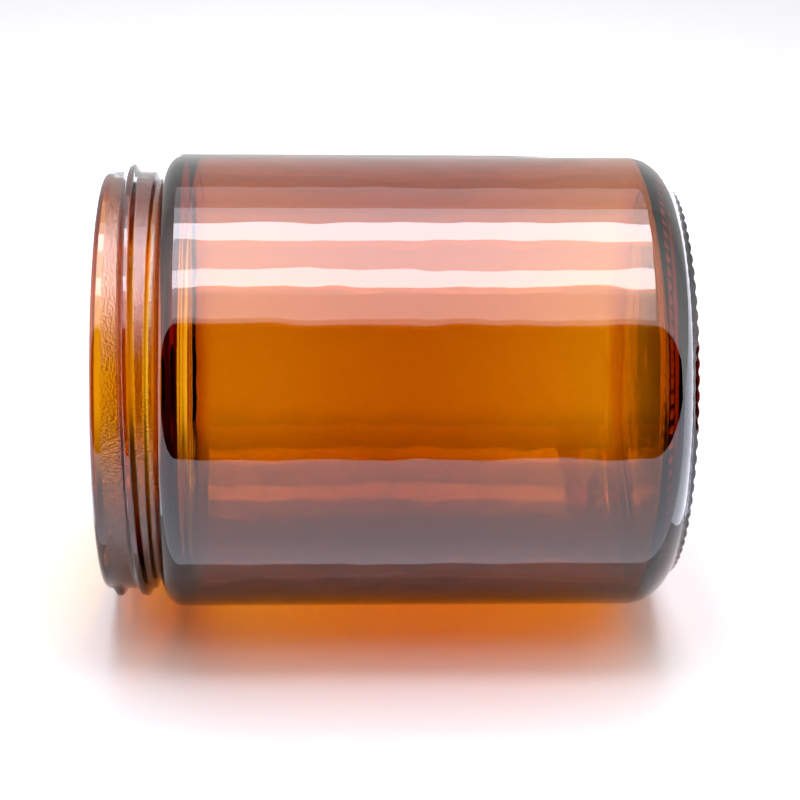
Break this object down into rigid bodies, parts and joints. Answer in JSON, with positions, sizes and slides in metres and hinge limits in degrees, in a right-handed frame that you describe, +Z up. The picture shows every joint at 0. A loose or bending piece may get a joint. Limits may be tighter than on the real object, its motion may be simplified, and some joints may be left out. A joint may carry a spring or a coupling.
{
  "type": "empty candle jar",
  "caption": "Straight-sided amber glass jar with a continuous-thread screw neck, a thick base and a ribbed foot ring, empty and without a lid, lying on its side.",
  "frame": {"origin": "on the surface the jar lies on, under the middle of the jar's length", "axes": "+X along the jar's own axis, from the mouth at -X to the foot ring at +X; +Z up, away from the surface that the jar's side lies on. Turned 90 degrees about Y, so that +X points down, the jar stands on its foot ring"},
  "size_m": [0.0904, 0.0726, 0.0726],
  "materials": {
    "amber_glass": "gloss"
  },
  "bodies": {
    "root": {"glass_jar": "amber_glass"}
  },
  "joints": []
}
